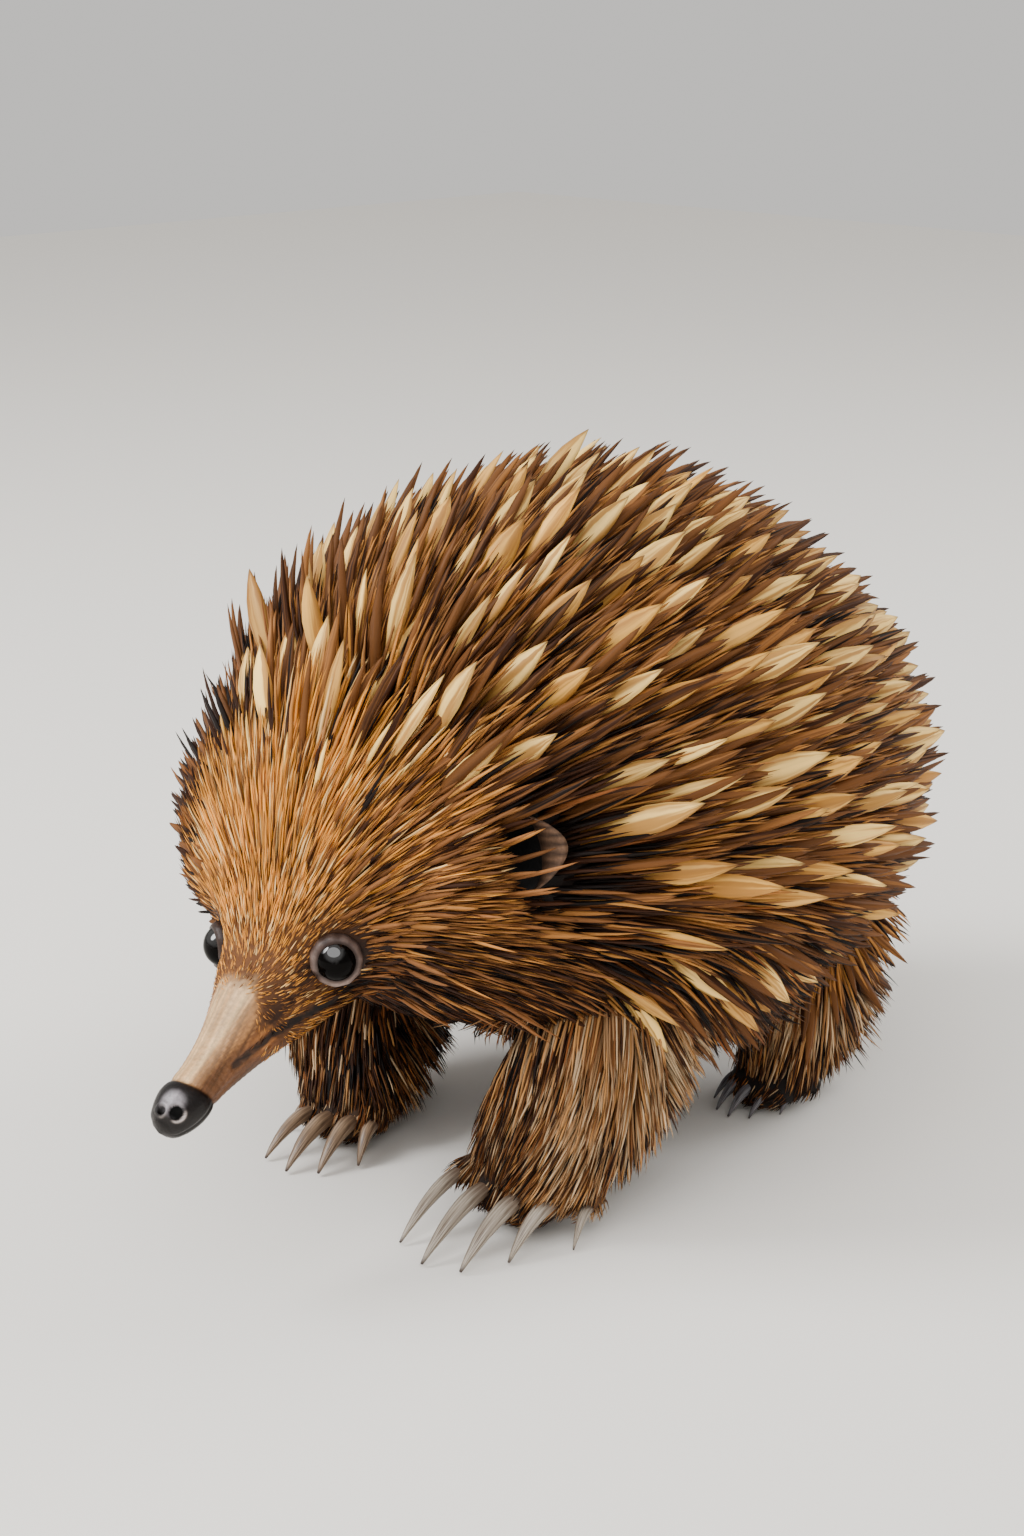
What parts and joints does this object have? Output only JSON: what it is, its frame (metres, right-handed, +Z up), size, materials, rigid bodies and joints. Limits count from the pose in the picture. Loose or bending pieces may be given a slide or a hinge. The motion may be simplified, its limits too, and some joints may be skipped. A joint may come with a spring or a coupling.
{
  "type": "echidna",
  "caption": "Short-beaked echidna standing still at life size, beak lowered, under a dome of long pale and dark spines.",
  "frame": {"origin": "on the floor, under the middle of the bounding box", "axes": "+Z up, the animal looks along -Y, its left side is at +X"},
  "size_m": [0.2628, 0.3884, 0.271],
  "materials": {
    "spines": "satin keratin spines",
    "coat": "brown fur",
    "beak": "bare satin skin",
    "claw": "grey horn",
    "eye": "wet black",
    "ear": "bare dark skin"
  },
  "bodies": {
    "root": {"trunk": "spines", "head": "coat", "beak": "beak", "tail": "coat", "eye_left": "eye", "eye_right": "eye", "ear_left": "ear", "ear_right": "ear", "foreleg_left": "coat", "foreleg_right": "coat", "hindleg_left": "coat", "hindleg_right": "coat", "foreleg_left_claw_1": "claw", "foreleg_left_claw_2": "claw", "foreleg_left_claw_3": "claw", "foreleg_left_claw_4": "claw", "foreleg_left_claw_5": "claw", "foreleg_right_claw_1": "claw", "foreleg_right_claw_2": "claw", "foreleg_right_claw_3": "claw", "foreleg_right_claw_4": "claw", "foreleg_right_claw_5": "claw", "hindleg_left_claw_1": "claw", "hindleg_left_claw_2": "claw", "hindleg_left_claw_3": "claw", "hindleg_left_claw_4": "claw", "hindleg_left_claw_5": "claw", "hindleg_right_claw_1": "claw", "hindleg_right_claw_2": "claw", "hindleg_right_claw_3": "claw", "hindleg_right_claw_4": "claw", "hindleg_right_claw_5": "claw"}
  },
  "joints": []
}
